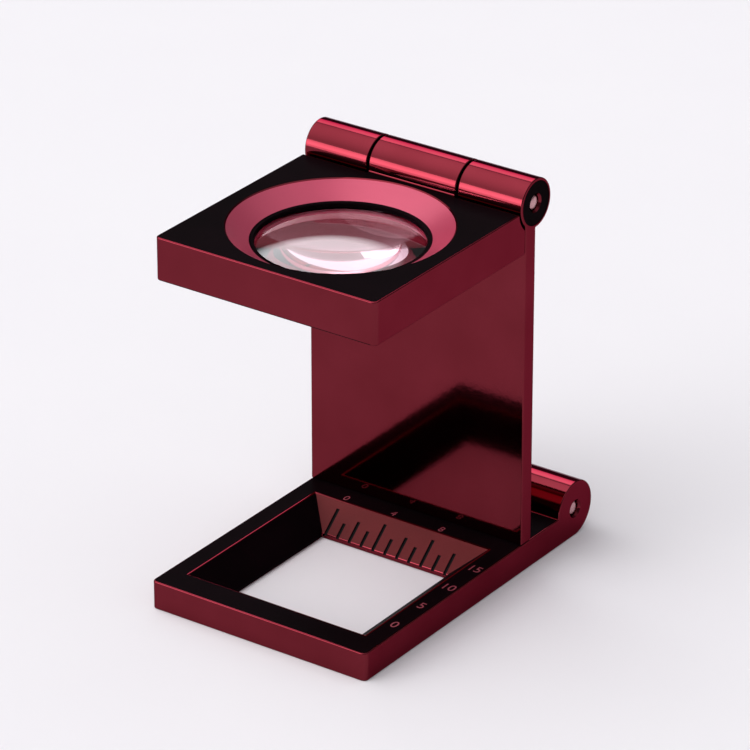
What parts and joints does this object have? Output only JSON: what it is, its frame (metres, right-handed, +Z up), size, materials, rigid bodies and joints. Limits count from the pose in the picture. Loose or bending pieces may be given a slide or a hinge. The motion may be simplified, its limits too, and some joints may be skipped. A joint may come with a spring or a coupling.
{
  "type": "folding magnifier",
  "caption": "Folding thread-counting magnifier: hinged plates hold a lens over a bevelled window with a graduated edge, and fold flat.",
  "frame": {"origin": "middle of the box that holds the open magnifier, at the height of the base's underside", "axes": "+Z up along the upright, +X across the width along both hinge axes, +Y from the window towards the hinges"},
  "size_m": [0.028, 0.0432, 0.0461],
  "materials": {
    "enamel": "glossy maroon metallic enamel, matt black on the upward faces and round the window",
    "lens_glass": "polished",
    "pin_steel": "drawn wire"
  },
  "bodies": {
    "upright": {"upright_plate": "enamel", "upper_hinge_pin": "pin_steel"},
    "base": {"base_frame": "enamel", "lower_hinge_pin": "pin_steel"},
    "lens_holder": {"lens_plate": "enamel", "lens": "lens_glass", "lens_retaining_ring": "enamel"}
  },
  "joints": [
    {"name": "base_fold", "type": "hinge", "parent": "upright", "child": "base", "pos_m": [0, 0.0183, 0.0033], "axis": [1, 0, 0], "range_deg": [0, 270]},
    {"name": "lens_fold", "type": "hinge", "parent": "upright", "child": "lens_holder", "pos_m": [0, 0.0095, 0.0433], "axis": [-1, 0, 0], "range_deg": [0, 270]}
  ]
}
